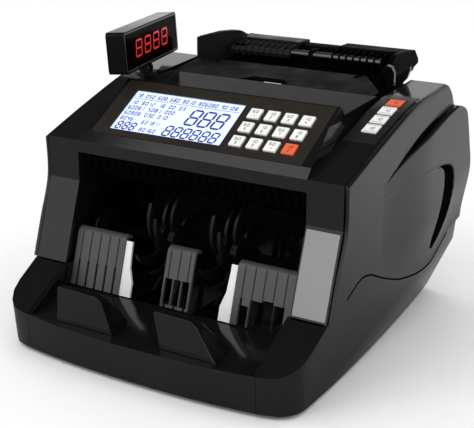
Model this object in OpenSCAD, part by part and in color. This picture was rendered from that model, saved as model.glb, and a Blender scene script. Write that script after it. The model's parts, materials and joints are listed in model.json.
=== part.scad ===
// Banknote counter for a shop till: a tray in front where counted notes land, a sloping control
// panel above it, a hopper at the rear where the stack goes in, and a customer display on a stalk.
// X is across the machine, -Y is the front, +Z is up. The origin is under the middle of the feet.

/* [Case] */
// Half of the width across the flat sides of the case
side_x = 122; // [120:0.5:124]
// Height of the rubber feet under the base
foot_h = 3; // [2:0.5:4]
// Wall thickness of the moulded covers
wall = 2.5; // [2:0.1:2.8]
// Half of the width of the bay between the two front pillars
bay_x = 92.3; // [91:0.1:93]
// Gap left between neighbouring mouldings
seam = 0.3; // [0.2:0.05:0.5]

/* [Control panel] */
// Half of the width of the control panel
panel_x = 85; // [84:0.5:86]
// Length of the control panel along its slope
panel_len = 57; // [55:0.5:58]
// Slope of the control panel from level
panel_tilt = 30.6; // [29:0.1:32]
// Width and depth of one panel key
key_size = 9.2; // [8:0.1:10]

/* [Hopper] */
// Height of the top of the hopper guides
guide_top_z = 188.5; // [186:0.5:190]
// Number of fins on each hopper guide
guide_fins = 10; // [8:1:11]
// Radius of the steel rod that the guides slide on
rod_r = 3; // [2.5:0.1:3.2]

/* [Stacker] */
// Radius of the impeller wheels
impeller_r = 38; // [34:0.5:39]
// Number of curved blades on an impeller wheel
impeller_blades = 6; // [5:1:8]
// Distance of each impeller wheel from the middle
impeller_x = 26; // [25:0.5:27]

/* [Customer display] */
// Length of the customer display case
display_len = 108; // [104:0.5:110]
// Height of the customer display case
display_h = 30.4; // [29:0.2:31]
// Height of the display's centre above the table
display_z = 196; // [195.5:0.5:197]

/* [Hidden] */
$fn = 48;

big = 400;

// Base tub: crowned front, square rear, side walls that stop at the S-shaped parting line
base_bottom_z = foot_h;
front_y = -135;
front_crown = 8;
rear_y = 129;
lip_z = 29;

// Pillars, deck and panel, in the (y, z) plane
pillar_y = -68;
pillar_top_z = 139.5;
pillar_mid_z = 109.7;
pillar_foot_y = -87.3;
pillar_foot_z = 52.9;
panel_y = -62.5;
panel_z = 145.8;
deck_rear_y = 88;
deck_rear_z = 175.7;
panel_top_y = panel_y + panel_len * cos(panel_tilt);
panel_top_z = panel_z + panel_len * sin(panel_tilt);
deck_line = [[pillar_y, pillar_top_z], [-20, 155.9], [18, 167.6], [38, 171.7], [deck_rear_y, deck_rear_z]];

// The S-shaped line between base and side covers
s_line = [
  [pillar_foot_y, pillar_foot_z], [-66, 64], [-50, 70.5], [-41, 71.5], [-30, 69],
  [-10, 60], [13, 51.5], [32, 47.3], [50, 44.8], [69, 45.6], [84, 52], [100, 62], [rear_y - 2, 66]
];

// Hopper
rod_y = 108;
rod_z = 181.5;

// Shafts of the note path, each [y, z]
feed_axis = [66, 142];
pickup_axis = [96, 143.5];
motor_axis = [70, 62];
impeller_axis = [-47, 70];
stacker_motor_axis = [16, 50];
shaft_r = 4;
bore_play = 0.05;

// Stacker plates, in the (y, z) plane
plate_top = [-74.3, 73.6];
plate_foot = [-86, 36];

// Customer display
display_x = -97;
display_y = 22;
display_turn = 14.9;
display_lean = 4;
// How far the case's middle sits from the pin, out of its face and along it
display_off = [0.7, -2.1];
stalk_r = 5;

module along_x(points, x0, x1) {
  translate([x0, 0, 0]) rotate([90, 0, 90]) linear_extrude(height = x1 - x0) polygon(points);
}

module along_y(points, y0, y1) {
  translate([0, y1, 0]) rotate([90, 0, 0]) linear_extrude(height = y1 - y0) polygon(points);
}

module rod_x(r, x0, x1, y, z) {
  translate([x0, y, z]) rotate([0, 90, 0]) cylinder(r = r, h = x1 - x0);
}

module box(low, high) {
  translate(low) cube(high - low);
}

// A frame whose floor is the control panel's face: X across, Y up the slope, Z out of the panel
module on_panel() {
  translate([0, panel_y, panel_z]) rotate([panel_tilt, 0, 0]) children();
}

// Distance the base outline pulls in towards the rear
function pull_in(y) = 19 * pow(max(0, (y + 98) / 228), 1.5);

// Front edge of the base, crowned across its width
function crown_y(x) = front_y + front_crown * pow(abs(x) / 104, 2.4);

// Half of the base outline, from the middle of the front round to the rear corner
function half_outline(grow, pull, lean) = concat(
  [for (x = [0 : 16 : 96]) [x, crown_y(x) - lean]],
  [for (a = [-60 : 20 : 0]) [96 + (20 + grow) * cos(a), -108 + (20 + grow) * sin(a)]],
  [for (y = [-70 : 32 : 110]) [116 + grow - pull * pull_in(y), y]],
  [[115.6 + grow - 19 * pull, rear_y]]
);

module base_slab(grow, pull, z) {
  points = half_outline(grow, pull, 0.05 * (z - base_bottom_z));
  last = len(points) - 1;
  flipped = [for (i = [last : -1 : 0]) [-points[i][0], points[i][1]]];
  translate([0, 0, z]) linear_extrude(height = 1) polygon(concat(points, flipped));
}

// Upright shape of the base: narrow at the table, as wide as the side covers where it meets them
module base_hull(thin) {
  hull() {
    base_slab(-thin, 1, base_bottom_z);
    base_slab(3.2 - thin, 0.14, 46);
    base_slab(5.2 - thin, 0.02, 84);
  }
}

// The whole base as a solid block, before it is hollowed
module base_block() {
  difference() {
    base_hull(0);
    along_x(concat(
      [[front_y - 20, lip_z - 4], [front_y + 6, lip_z], [pillar_foot_y, pillar_foot_z]],
      [for (p = s_line) if (p[0] > pillar_foot_y) p],
      [[big, 66], [big, big], [front_y - 20, big]]), -big, big);
  }
}

// Inside outline of the tub, drawn in by a gap
function tub_outline(gap) = [
  [-112 + gap, -108], [-92 + gap, -125 + gap], [92 - gap, -125 + gap], [112 - gap, -108], [106 - gap, 20],
  [97 - gap, 96], [86 - gap, rear_y - wall - gap], [-86 + gap, rear_y - wall - gap], [-97 + gap, 96],
  [-106 + gap, 20]];

module base_housing() {
  color([0.05, 0.05, 0.055]) difference() {
    base_block();
    // hollow of the tub, open above behind the pillars
    translate([0, 0, -1]) linear_extrude(height = 8) polygon(tub_outline(0));
    intersection() {
      base_hull(3);
      box([-big, -125, 0], [big, rear_y - wall, big]);
      along_x([[-big, -big], [-big, lip_z - 8], [front_y + 8, lip_z - 4],
        [pillar_foot_y - 1, pillar_foot_z - wall], [pillar_foot_y - 1, big], [big, big], [big, -big]],
          -big, big);
    }
    // the front tray takes up the middle of the front
    box([-bay_x - seam, front_y - 20, -1], [bay_x + seam, pillar_foot_y, big]);
    // mains inlet and switch come through the rear wall
    box([inlet_x - 14, rear_y - 10, 16], [inlet_x + 14, rear_y + 10, 40]);
    box([switch_x - 12.4, rear_y - 10, switch_z - 10.9], [switch_x + 12.4, rear_y + 10, switch_z + 10.9]);
  }
  color([0.05, 0.05, 0.055]) for (p = screw_places) screw_boss(p);
}

// Boss for a cover screw, tied to the side wall by a web; each place is [x, y, length of the web]
module screw_boss(p) {
  side = sign(p[0]);
  difference() {
    union() {
      translate([p[0], p[1], foot_h + 2]) cylinder(r = 4.5, h = 14);
      along_y([[p[0], 8], [p[0] + side * p[2], 8], [p[0] + side * p[2], 18], [p[0], 18]], p[1] - 1.5,
        p[1] + 1.5);
    }
    translate([p[0], p[1], 0]) cylinder(r = 1.6, h = 12);
  }
}

inlet_x = 60;
switch_x = 25;
switch_z = 28;

// Tray floor rises from the lip to the foot of the guide plates
tray_line = [[-129, 27], [plate_foot[0], plate_foot[1]], [-34, plate_foot[1]]];
bay_back_y = -5;

module front_tray() {
  color([0.05, 0.05, 0.055]) {
    tray_front();
    // floor under the impellers and the black wall that closes the back of the bay
    difference() {
      along_x([[-34.1, plate_foot[1] - wall], [-34.1, plate_foot[1]], [bay_back_y, plate_foot[1]],
        [bay_back_y, 113],
        [bay_back_y + wall, 113], [bay_back_y + wall, plate_foot[1] - wall]], -89.8, 89.8);
      for (side = [-1, 1]) box([side * impeller_x - 12, -84, 30], [side * impeller_x + 12, -8, 60]);
      box([-stacker_belt_x - 6, bay_back_y - 1, 38], [-stacker_belt_x + 6, bay_back_y + wall + 1, 92]);
    }
    // side walls of the tray, up to the sloping corners
    for (x = [-bay_x, bay_x - 2]) along_x([[-128.5, 28.5], [pillar_foot_y, pillar_foot_z - 0.3],
      [-62.3, pillar_foot_z - 0.3],
      [-62.3, 34], [plate_foot[0], 34], [-128.5, 26]], x, x + 2);
  }
}

module tray_front() {
  intersection() {
    box([-bay_x, front_y - 20, 0], [bay_x, -34, 60]);
    difference() {
      union() {
        base_block();
        along_x([[-80, 10], [-80, 50], [-30, 50], [-30, 10]], -bay_x, bay_x);
      }
      // above the floor
      along_x(concat([[front_y + 5.5, big], [front_y + 5.5, lip_z + 3], [-129, lip_z + 1]],
        tray_line, [[-30, plate_foot[1]], [-30, big]]), -big, big);
      // below the floor
      along_x([[-126, -1], [-126, 24], [plate_foot[0], plate_foot[1] - wall],
        [-30, plate_foot[1] - wall], [-30, -1]], -big, big);
      // slots that let the impeller wheels through
      for (side = [-1, 1])
        box([side * impeller_x - 12, -84, 30], [side * impeller_x + 12, -33, 60]);
    }
  }
}

module bottom_plate() {
  color([0.2, 0.2, 0.21]) difference() {
    translate([0, 0, foot_h]) linear_extrude(height = 2) polygon(tub_outline(seam));
    for (x = [-60 : 12 : 60]) box([x - 2, 20, 0], [x + 2, 70, 10]);
    for (p = foot_places) translate([p[0], p[1], -1]) cylinder(r = 2, h = 10);
    for (p = screw_places) translate([p[0], p[1], -1]) cylinder(r = 1.6, h = 10);
  }
}

foot_places = [[-92, -98], [92, -98], [-82, 100], [82, 100]];
screw_places = [[-98, -60, 15], [98, -60, 15], [-97, 60, 8], [97, 60, 8]];

module rubber_feet() {
  color([0.08, 0.08, 0.08]) for (p = foot_places) translate([p[0], p[1], 0]) {
    cylinder(r = 8, h = foot_h);
    cylinder(r = 1.95, h = foot_h + 4);
  }
}

// One rail of the top housing: deck, pillar front and bay wall, on the +X side
module top_rail(with_keys) {
  inner = bay_x;
  outer = side_x - 3 - seam;
  difference() {
    along_x(concat([[pillar_foot_y, pillar_foot_z + seam], [pillar_y, pillar_mid_z]], deck_line,
      [[deck_rear_y, 72], for (i = [3 : -1 : 1]) s_line[i] + [0, seam]]), inner, outer);
    along_x(concat([[pillar_foot_y + 3, pillar_foot_z - 1], [pillar_y + wall, pillar_mid_z - 1]],
      [for (p = deck_line) [max(p[0], pillar_y + wall), p[1] - wall]],
      [[deck_rear_y + 1, deck_rear_z - wall], [deck_rear_y + 1, 50], [-60, 50]]), inner + wall, outer + 1);
    // the bay wall stops where the note path begins
    along_x([[-34, 20], [-34, 128], [4, 128], [60, 128], [60, 20]], inner - 1, inner + wall + 1);
    box([inner - 1, 59, 20], [inner + wall + 1, 100, 150]);
    // side keys
    if (with_keys) for (i = [0 : 3]) side_key_place(i) translate([-5.8, -5.8, -5]) cube([11.6, 11.6, 10]);
  }
}

// Rear deck of the console, between the panel and the feed lid
deck_mid_y = 40.7;
deck_mid_z = 171.8;

// Closed profile of the console: front band, panel, rim and rear deck; lower drops its top surface
function console_profile(lower) = [
  [pillar_y + lower, 131 + lower],
  [pillar_y + lower, pillar_top_z - lower * 0.2],
  [panel_y + lower * 0.5, panel_z - lower],
  [panel_top_y, panel_top_z - lower * 1.3],
  [panel_top_y + 5 - lower, 168.6 - lower],
  [deck_mid_y - lower, deck_mid_z - lower],
  [deck_mid_y - lower, 162 + lower],
  [2, 152 + lower],
  [-30, 131 + lower]
];

// Where the console's end facets begin
facet_x = 87.6;

module console_shape(inset) {
  intersection() {
    along_x(console_profile(inset), -bay_x + inset, bay_x - inset);
    along_y([[-bay_x, 120], [-bay_x, 150], [-facet_x + inset, 165], [-facet_x + inset, 200],
      [facet_x - inset, 200], [facet_x - inset, 165], [bay_x, 150], [bay_x, 120]],
      pillar_y - 10, 60);
  }
}

module top_housing() {
  color([0.05, 0.05, 0.055]) {
    difference() {
      union() {
        top_rail(true);
        mirror([1, 0, 0]) top_rail(false);
        difference() {
          console_shape(0);
          console_shape(wall);
        }
        for (x = lid_arm_x) {
          along_x([[38.5, 163.5], [38.5, 167.5], [72, 170.6], [80, 171], [80, 168.6], [70, 166.5]],
            x - 2, x + 2);
          rod_x(2.7, x - 2, x + 2, lid_hinge[0], lid_hinge[1]);
        }
      }
      rod_x(lid_pin_r, -70, 60, lid_hinge[0], lid_hinge[1]);
      on_panel() {
        // recess for the fascia, window for the display, pockets for the keys
        translate([-panel_x, 0.6, -1]) cube([panel_x * 2, panel_len - 1.2, 10]);
        translate([lcd_x0, lcd_y0, -8]) cube([lcd_w, lcd_h, 20]);
        for (row = [0 : 2], col = [0 : 3]) key_place(row, col)
          translate([-key_size / 2 - 0.4, -key_size / 2 - 0.4, -8]) cube([key_size + 0.8,
            key_size + 0.8, 20]);
      }
      // socket of the display stalk in the left rail
      translate([display_x, display_y, 140]) cylinder(r = stalk_r + bore_play, h = 60);
    }
  }
}

lcd_x0 = -73;
lcd_y0 = 5.8;
lcd_w = 93.4;
lcd_h = 41.6;

key_col_x = [30.8, 44.1, 57.4, 70.7];
key_row_y = [39.2, 25.8, 12.3];

// Frame of one panel key, on the face of the panel
module key_place(row, col) {
  translate([key_col_x[col], key_row_y[row], 0]) children();
}

side_key_y = [30.6, 18, 6.2, -5.6];
side_key_z = [170.4, 167.6, 164, 160.4];
side_key_tilt = [11.5, 16, 17.1, 17.1];

// Frame of one side key, on the deck of the right rail
module side_key_place(i) {
  translate([106.3, side_key_y[i], side_key_z[i]]) rotate([side_key_tilt[i], 0, 0]) children();
}

// A key cap with a rounded top and a collar that keeps it behind the fascia
module key_cap(w, h) {
  translate([-w / 2, -h / 2, -3]) cube([w, h, 4.2]);
  translate([-w / 2 - 0.3, -h / 2 - 0.3, -3]) cube([w + 0.6, h + 0.6, 1]);
}

module panel_key(row, col) {
  on_panel() key_place(row, col) key_cap(key_size, key_size);
}

module side_key(i) {
  side_key_place(i) key_cap(10.6, 10.2);
}

module control_fascia() {
  color([0.12, 0.10, 0.09]) on_panel() difference() {
    translate([-panel_x + 0.2, 0.8, -0.9]) cube([panel_x * 2 - 0.4, panel_len - 1.6, 0.9]);
    translate([lcd_x0 + 0.8, lcd_y0 + 0.6, -5]) cube([lcd_w - 1.6, lcd_h - 1.2, 10]);
    for (row = [0 : 2], col = [0 : 3]) key_place(row, col)
      translate([-key_size / 2 - 0.15, -key_size / 2 - 0.15, -5]) cube([key_size + 0.3, key_size + 0.3, 10]);
  }
}

module lcd_module() {
  color([0.75, 0.82, 1]) on_panel() {
    translate([lcd_x0 + 0.3, lcd_y0 + 0.3, -5]) cube([lcd_w - 0.6, lcd_h - 0.6, 4]);
  }
}

module side_key_fascia() {
  strip = [[-22, 155.25], [-20, 155.9], [18, 167.6], [38, 171.7], [47, 172.42]];
  color([0.04, 0.04, 0.04]) difference() {
    along_x(concat(strip, [for (i = [len(strip) - 1 : -1 : 0]) strip[i] + [0, 0.5]]), 93.4, 117);
    for (i = [0 : 3]) side_key_place(i) translate([-5.5, -5.3, -5]) cube([11, 10.6, 10]);
  }
}

// Circuit boards: one behind the panel, one under the side keys, the main board in the base
module circuit_boards() {
  color([0.05, 0.3, 0.12]) {
    on_panel() {
      translate([20, 4, -8.4]) cube([60, 46, 1.6]);
      for (row = [0 : 2], col = [0 : 3]) key_place(row, col) translate([0, 0, -6.8]) cylinder(r = 2.5,
        h = 3.2);
    }
    translate([106.3, 12.5, 165.5]) rotate([15.5, 0, 0]) {
      translate([-8, -24, -11]) cube([16, 50, 1.6]);
      for (y = [-18.5, -6.3, 6, 18.5]) translate([0, y, -9.4]) cylinder(r = 2.5, h = 4);
    }
    box([-80, 32, 44], [6, 112, 45.6]);
    box([-60, 50, 45.6], [-30, 78, 50]);
    box([-16, 40, 45.6], [4, 60, 49]);
    for (x = [-75, 1], y = [36, 108]) translate([x, y, foot_h + 2]) cylinder(r = 3, h = 44 - foot_h - 2);
  }
}

module power_supply() {
  color([0.6, 0.6, 0.62]) difference() {
    box([-70, 42, foot_h + 2], [8, 100, 38]);
    for (x = [-60 : 10 : 0]) box([x - 2, 50, 36], [x + 2, 92, 39]);
  }
}

module mains_body(x, w, low, high, back) {
  box([x - w, rear_y - back, low], [x + w, rear_y + 1.5, high]);
}

module power_inlet() {
  color([0.03, 0.03, 0.03]) {
    difference() {
      mains_body(inlet_x, 13.7, 16.3, 39.7, 22);
      box([inlet_x - 12, rear_y - 15, 20], [inlet_x + 12, rear_y + 3, 36]);
    }
    // body of the mains switch, with a pivot bore for the rocker
    difference() {
      mains_body(switch_x, 12.1, switch_z - 10.6, switch_z + 10.6, 20);
      box([switch_x - 10.4, rear_y - 14, switch_z - 8.9], [switch_x + 10.4, rear_y + 3, switch_z + 8.9]);
      rod_x(1.5 + bore_play, switch_x - 11.4, switch_x + 11.4, rear_y - 4, switch_z);
    }
  }
  color("silver") for (x = [-7, 0, 7])
    box([inlet_x + x - 1, rear_y - 16, 26], [inlet_x + x + 1, rear_y - 3, 30]);
}

// Rocker of the mains switch, a shallow V that tips about a pin across its middle
rocker_tip = 10;
module rocker_switch() {
  color([0.6, 0.03, 0.03]) translate([switch_x, rear_y - 4, switch_z]) rotate([rocker_tip, 0, 0]) {
    along_x([[-4, -5], [5.5, -7.2], [3.6, 0], [5.5, 7.2], [-4, 5]], -10, 10);
    rod_x(1.5, -11.2, 11.2, 0, 0);
  }
}

// Steel side plates that carry every shaft
module frame_plate() {
  difference() {
    along_x([[-62, 36.3], [-62, 84], [-44, 100], [-12, 118], [4, 140], [44, 158], [94, 158], [97, 155],
      [104, 152], [108.5, 148], [108.5, 20], [100, 9], [-30, 9], [-30, 36.3]], 90.2, 91.8);
    for (axis = [feed_axis, pickup_axis, impeller_axis])
      rod_x(7, 85, 95, axis[0], axis[1]);
    along_x([[10, 60], [10, 110], [44, 122], [44, 80], [30, 60]], 85, 95);
  }
}

module frame_plates() {
  color([0.45, 0.46, 0.48]) {
    frame_plate();
    mirror([1, 0, 0]) frame_plate();
    // ear that carries the gap knob
    difference() {
      union() {
        box([90.2, 70, 157], [91.8, 82, 164]);
        box([79, 70, 162.6], [91.8, 82, 164]);
      }
      translate([knob_x, knob_y, 150]) cylinder(r = knob_shaft_r + bore_play, h = 30);
    }
    // tie rods between the two plates
    for (p = [[-18, 20], [103, 90], [100, 112], [40, 140]]) rod_x(4, -90.2, 90.2, p[0], p[1]);
  }
}

module bearing_ring(axis) {
  translate([87.6, axis[0], axis[1]]) rotate([0, 90, 0]) rotate_extrude()
    polygon([[shaft_r + bore_play, 0], [8.5, 0], [8.5, 2.5], [6.98, 2.5], [6.98, 4.4],
      [shaft_r + bore_play, 4.4]]);
}

module shaft_bearings() {
  color("silver") for (axis = [feed_axis, pickup_axis, impeller_axis]) {
    bearing_ring(axis);
    mirror([1, 0, 0]) bearing_ring(axis);
  }
}

// Hopper bed that the stack slides down, with slots for the rollers
bed_line = [[84, 145.3], [96, 158], [112, 169], [119, 173.6], [134, 176.5]];
bed_x = 87.3;
bed_top_x = 74;

module hopper_bed() {
  color([0.05, 0.05, 0.055]) difference() {
    union() {
      along_x(concat(bed_line, [for (i = [len(bed_line) - 1 : -1 : 0]) bed_line[i] + [0.8, -3]]),
        -bed_x, bed_x);
      for (x = [-84 : 12 : 84]) along_x([[84.5, 146], [96, 159.2], [111, 169.6], [111, 166],
        [86, 144]], x - 0.8, x + 0.8);
      // flange that hangs down to the rear cover
      box([-bed_x, 110, 155.2], [bed_x, 111.2, 167]);
    }
    for (side = [-1, 1]) box([side * 30 - 9, 70, 120], [side * 30 + 9, 109, 190]);
    // room for the pick-up belt
    box([second_belt_x - 5.2, 80, 140], [second_belt_x + 5.2, 96, 151.8]);
    // the upper part ends at the right guide's straight cheek
    box([bed_top_x, 104, 150], [100, 140, 190]);
  }
}

rail_x = 58;

module hopper_rear_rail() {
  color([0.05, 0.05, 0.055]) {
    difference() {
      union() {
        along_x([[120.5, 174.4], [120.5, 186], [122, 186.6], [132.5, 186.6], [133.5, 186],
          [133.5, 176.5], [131.5, 176.5],
          [122.5, 174.4]], -rail_x, rail_x);
        along_x([[104, 179], [104, 184], [108, 186], [121, 185], [121, 178]], -1.5, 1.5);
      }
      rod_x(rod_r, -5, 5, rod_y, rod_z);
      along_x([[122.5, 170], [122.5, 184.4], [131.5, 184.4], [131.5, 170]], wall - rail_x, rail_x - wall);
    }
  }
}

module guide_rod() {
  color("silver") rod_x(rod_r - 0.01, -rail_x - 2, rail_x + 2, rod_y, rod_z);
}

// Flared side cheek of the left hopper guide: a bent wall with a rounded top
module flared_cheek() {
  difference() {
    intersection() {
      translate([0, 0, 160]) linear_extrude(height = 40)
        polygon([[70, 119], [70, 136], [72.8, 136], [73.6, 126], [83.5, 110], [98, 93], [96, 91.5],
          [81, 108]]);
      along_x([[90, 174.5], [90, 187], [95, 190], [108, 193.4], [117, 193.6], [128, 188.5], [137, 188.5],
        [137, 179], [119, 177.4], [112, 172.6], [106, 169.8], [100, 167.4], [94, 170.6]], 60, 110);
    }
    // room for the rear rail
    box([60, 120.3, 170], [100, 133.7, 186.8]);
  }
}

// Straight side cheek of the right hopper guide: an upright plate with cut corners
module straight_cheek() {
  along_x([[88.4, 182.8], [90, 178.7], [100, 174.4], [112, 173], [119, 175], [127.5, 176.4],
    [136, 179], [136, 182],
    [129, 189.7], [112, 191.4], [96, 191.2], [91, 187.4]], guide_end_x - 0.1, guide_end_x + 2.6);
}

// Body of a hopper guide: sleeve over the rear rail and fins on the rod
guide_end_x = 74.4;
guide_rear_y = 136.2;

module guide_body(outer) {
  inner = 17.3;
  difference() {
    along_x([[118, 178], [118, guide_top_z - 1], [119, guide_top_z], [135, guide_top_z],
      [guide_rear_y, guide_top_z - 1],
      [guide_rear_y, 180], [133.9, 180], [133.9, 186.8], [120.2, 186.8], [120.2, 178]], inner, outer);
    rod_x(rod_r + bore_play, 0, 100, rod_y, rod_z);
  }
  step = (outer - inner - 4) / (guide_fins - 1);
  for (i = [0 : guide_fins - 1]) difference() {
    along_x([[118.1, 187.4], [111, 186.6], [105, 183.8], [103, 180.6], [103, 177.5], [106, 176.2],
      [118.1, 178]],
      inner + 1 + i * step, inner + 2.1 + i * step);
    rod_x(rod_r + bore_play, 0, 100, rod_y, rod_z);
  }
}

module hopper_guide_right() {
  color([0.05, 0.05, 0.055]) {
    guide_body(guide_end_x);
    straight_cheek();
  }
}

module hopper_guide_left() {
  color([0.05, 0.05, 0.055]) mirror([1, 0, 0]) {
    guide_body(72.8);
    flared_cheek();
    // shield that hides the rod between the fins
    difference() {
      along_x([[118.1, 186.6], [111, 186], [105.2, 183.2], [103.6, 180.4], [103.6, 178], [105, 178],
        [118.1, 184.8]], 17.5, 72);
      rod_x(rod_r + bore_play, 0, 100, rod_y, rod_z);
    }
  }
}

// Feed lid over the rollers, with a finger notch in its front edge and a cut corner for the knob
lid_hinge = [77.5, 172.9];
lid_pin_r = 1.2;
lid_arm_x = [-66, 56];

module feed_lid() {
  color([0.05, 0.05, 0.055]) {
    difference() {
      intersection() {
        along_x([[deck_mid_y + 0.5, deck_mid_z + 0.1], [74, 176.3], [78.5, 176.6], [80.8, 174.4],
          [80.4, 171.6],
          [78.6, 170.5], [76, 170.8], [73, 172.6], [deck_mid_y + 0.5, deck_mid_z - 2.6]], -panel_x, panel_x);
        translate([0, 0, 160]) linear_extrude(height = 30)
          polygon([[-panel_x, 40], [-panel_x, 90], [62, 90], [62, 77], [panel_x, 50], [panel_x, 40]]);
      }
      // finger notch
      translate([0, 0, 160]) linear_extrude(height = 30) polygon([[-26, 36], [-26, 41.5], [-18, 50],
        [8, 50], [16, 41.5], [16, 36]]);
      rod_x(lid_pin_r + bore_play, -100, 100, lid_hinge[0], lid_hinge[1]);
      for (x = lid_arm_x) box([x - 2.4, 71, 160], [x + 2.4, 90, 190]);
    }
  }
}

module lid_hinge_pin() {
  color("silver") rod_x(lid_pin_r - 0.01, lid_arm_x[0] - 3, lid_arm_x[1] + 3, lid_hinge[0], lid_hinge[1]);
}

// Winged knob that sets the feed gap, and the bracket that it moves
knob_x = 86;
knob_y = 76;
knob_shaft_r = 3;

module gap_knob() {
  color([0.04, 0.04, 0.04]) translate([knob_x, knob_y, 0]) {
    translate([0, 0, 158.6]) cylinder(r = knob_shaft_r, h = 10);
    translate([0, 0, 164.1]) cylinder(r = 6, h = 10);
    rotate([0, 0, 12]) {
      along_y([[1, 170], [5, 175], [8.4, 179], [10.4, 185], [10, 187.2], [6.5, 184], [1, 180.5]], -3, 3);
      along_y([[-1, 170], [-5, 175], [-8.2, 179], [-10, 182.6], [-9.2, 185.6], [-6.4, 187.4],
        [-3.2, 186.4], [-1, 182]],
        -3, 3);
    }
  }
}

module separator_bracket() {
  color([0.5, 0.5, 0.52]) difference() {
    union() {
      box([-50, 64, 158.6], [88, 71, 160.4]);
      box([knob_x - 4.1, 70, 158.6], [knob_x + 4.1, knob_y, 160.4]);
      translate([knob_x, knob_y, 158.6]) cylinder(r = 4.1, h = 1.8);
    }
    translate([knob_x, knob_y, 150]) cylinder(r = knob_shaft_r + bore_play, h = 30);
  }
}

// A flanged pulley, its belt groove in the middle
module pulley(axis, r, x) {
  rod_x(r, x - 3, x + 3, axis[0], axis[1]);
  rod_x(r + 1.5, x - 4, x - 3, axis[0], axis[1]);
  rod_x(r + 1.5, x + 3, x + 4, axis[0], axis[1]);
}

belt_x = 66;
stacker_belt_x = 79;
motor_pulley_r = 8;
feed_pulley_r = 14;
second_belt_x = 52;
idler_pulley_r = 6;
impeller_pulley_r = 14;

module feed_rollers() {
  roller_r = 15.5;
  color([0.1, 0.1, 0.1]) {
    rod_x(shaft_r, -92, 92, feed_axis[0], feed_axis[1]);
    for (x = [-30, 30]) rod_x(roller_r, x - 7, x + 7, feed_axis[0], feed_axis[1]);
    pulley(feed_axis, feed_pulley_r, belt_x);
    pulley(feed_axis, idler_pulley_r, second_belt_x);
    // slotted disc read by the counting sensor
    difference() {
      rod_x(13, -79, -78, feed_axis[0], feed_axis[1]);
      for (i = [0 : 11]) translate([0, feed_axis[0], feed_axis[1]]) rotate([i * 30, 0, 0])
        box([-80, -0.8, 9], [-77, 0.8, 14]);
    }
  }
}

module pickup_rollers() {
  color([0.1, 0.1, 0.1]) {
    rod_x(shaft_r, -92, 92, pickup_axis[0], pickup_axis[1]);
    for (x = [-30, 30]) rod_x(11, x - 6, x + 6, pickup_axis[0], pickup_axis[1]);
    pulley(pickup_axis, idler_pulley_r, second_belt_x);
  }
}

module drive_motors() {
  color([0.55, 0.55, 0.58]) {
    difference() {
      union() {
        rod_x(21, 14, 54, motor_axis[0], motor_axis[1]);
        rod_x(7, 54, 58, motor_axis[0], motor_axis[1]);
        box([16, motor_axis[0] - 18, foot_h + 2], [52, motor_axis[0] + 18, motor_axis[1] - 4]);
      }
      rod_x(3 + bore_play, 20, 80, motor_axis[0], motor_axis[1]);
    }
    difference() {
      union() {
        rod_x(15, -72, -40, stacker_motor_axis[0], stacker_motor_axis[1]);
        rod_x(6, -74, -72, stacker_motor_axis[0], stacker_motor_axis[1]);
        box([-70, stacker_motor_axis[0] - 12, foot_h + 2], [-42, stacker_motor_axis[0] + 12,
          stacker_motor_axis[1] - 4]);
      }
      rod_x(2.5 + bore_play, -80, -50, stacker_motor_axis[0], stacker_motor_axis[1]);
    }
  }
}

module main_pulley() {
  color("silver") {
    rod_x(3, 24, 71, motor_axis[0], motor_axis[1]);
    pulley(motor_axis, motor_pulley_r, belt_x);
  }
}

module stacker_pulley() {
  color("silver") {
    rod_x(2.5, -84, -54, stacker_motor_axis[0], stacker_motor_axis[1]);
    pulley(stacker_motor_axis, motor_pulley_r, -stacker_belt_x);
  }
}

// Belt loop round two pulleys
module belt(a, ra, b, rb, x) {
  translate([x - 2.5, 0, 0]) rotate([90, 0, 90]) linear_extrude(height = 5) difference() {
    hull() {
      translate(a) circle(r = ra + 1.3);
      translate(b) circle(r = rb + 1.3);
    }
    hull() {
      translate(a) circle(r = ra + 0.1);
      translate(b) circle(r = rb + 0.1);
    }
  }
}

module drive_belts() {
  color([0.03, 0.03, 0.03]) {
    belt(motor_axis, motor_pulley_r, feed_axis, feed_pulley_r, belt_x);
    belt(feed_axis, idler_pulley_r, pickup_axis, idler_pulley_r, second_belt_x);
    belt(stacker_motor_axis, motor_pulley_r, impeller_axis, impeller_pulley_r, -stacker_belt_x);
  }
}

module impeller_shaft() {
  color("silver") {
    rod_x(shaft_r, -92, 92, impeller_axis[0], impeller_axis[1]);
    pulley(impeller_axis, impeller_pulley_r, -stacker_belt_x);
  }
}

// One curved blade: a thin crescent that leaves the hub and trails round to the rim
function blade_point(t, shift) = let (r = 9 + (impeller_r - 9) * t, a = 80 * pow(t, 1.2) + shift)
  [r * cos(a), r * sin(a)];

module impeller_wheel() {
  steps = 10;
  linear_extrude(height = 4) union() {
    circle(r = 12);
    for (i = [0 : impeller_blades - 1]) rotate(i * 360 / impeller_blades) polygon(concat(
      [for (k = [0 : steps]) blade_point(k / steps, 0)],
      [for (k = [steps : -1 : 0]) blade_point(k / steps, -30 * (1 - 0.9 * k / steps))]));
  }
}

module impeller_wheels() {
  color([0.06, 0.06, 0.065]) for (side = [-1, 1]) for (dx = [-7, 3])
    translate([side * impeller_x + dx, impeller_axis[0], impeller_axis[1]]) difference() {
      rotate([90, 0, 90]) impeller_wheel();
      rotate([0, 90, 0]) translate([0, 0, -1]) cylinder(r = shaft_r + 0.01, h = 6);
    }
}

// Guide plate profile: a leaning face with a rolled top, seen from the side
plate_t = 2.4;
plate_roll = 5;
plate_angle = atan2(plate_top[1] - plate_foot[1], plate_top[0] - plate_foot[0]);
function plate_point(s, depth) = let (n = [sin(plate_angle), -cos(plate_angle)])
  plate_foot + (plate_top - plate_foot) * s + n * depth;

function roll(r) = [for (a = [plate_angle + 90 : -22.5 : plate_angle - 45])
  plate_point(1, plate_roll) + [r * cos(a), r * sin(a)]];

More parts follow.
